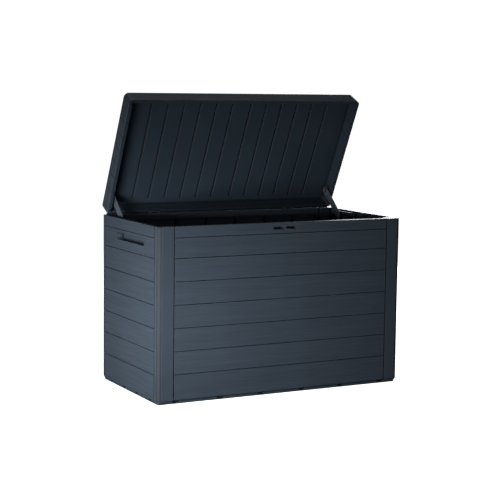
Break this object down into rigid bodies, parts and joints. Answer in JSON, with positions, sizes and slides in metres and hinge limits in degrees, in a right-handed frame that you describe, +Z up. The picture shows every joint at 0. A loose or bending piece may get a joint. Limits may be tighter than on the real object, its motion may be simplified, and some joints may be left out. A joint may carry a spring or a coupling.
{
  "type": "deck storage box",
  "caption": "Resin garden storage box with planked walls on corner posts, hand grips, lock slots and a hinged planked lid propped open by two sliding stays.",
  "frame": {"origin": "middle of the underside, on the ground", "axes": "+X along the box to the right, -Y towards the front, +Y towards the hinged back, +Z up; the lid is drawn open"},
  "size_m": [0.812, 0.4459, 0.8788],
  "materials": {
    "plank_resin": "anthracite, fine wood-grain moulding",
    "post_resin": "anthracite, smooth satin moulding",
    "base_resin": "anthracite, smooth satin moulding",
    "lid_resin": "anthracite, fine wood-grain moulding",
    "liner_resin": "anthracite, satin inner skin",
    "fitting_resin": "anthracite, smooth satin moulding",
    "steel": "zinc-plated steel"
  },
  "bodies": {
    "box": {"base_tray": "base_resin", "front_panel": "plank_resin", "back_panel": "plank_resin", "left_side_panel": "plank_resin", "right_side_panel": "plank_resin", "front_left_post": "post_resin", "front_right_post": "post_resin", "back_left_post": "post_resin", "back_right_post": "post_resin", "left_hinge_pin": "steel", "right_hinge_pin": "steel", "left_stay_guide": "fitting_resin", "right_stay_guide": "fitting_resin", "guide_screws": "steel"},
    "lid": {"lid_shell": "lid_resin", "lid_liner": "liner_resin", "left_stay_bracket": "fitting_resin", "right_stay_bracket": "fitting_resin", "bracket_screws": "steel", "left_stay_pin": "fitting_resin", "right_stay_pin": "fitting_resin"},
    "left_stay": {"left_stay": "fitting_resin"},
    "right_stay": {"right_stay": "fitting_resin"}
  },
  "joints": [
    {"name": "lid_hinge", "type": "hinge", "parent": "box", "child": "lid", "pos_m": [0, 0.199, 0.514], "axis": [1, 0, 0], "range_deg": [0, 63.5]},
    {"name": "left_stay_pivot", "type": "hinge", "parent": "lid", "child": "left_stay", "pos_m": [-0.37695, 0.19369, 0.56499], "axis": [1, 0, 0], "range_deg": [-82.8, 0]},
    {"name": "right_stay_pivot", "type": "hinge", "parent": "lid", "child": "right_stay", "pos_m": [0.37695, 0.19369, 0.56499], "axis": [1, 0, 0], "range_deg": [-82.8, 0]}
  ],
  "couplings": [
    {"joint": "left_stay_pivot", "follows": "lid_hinge", "ratio": -1.3038},
    {"joint": "right_stay_pivot", "follows": "lid_hinge", "ratio": -1.3038}
  ]
}
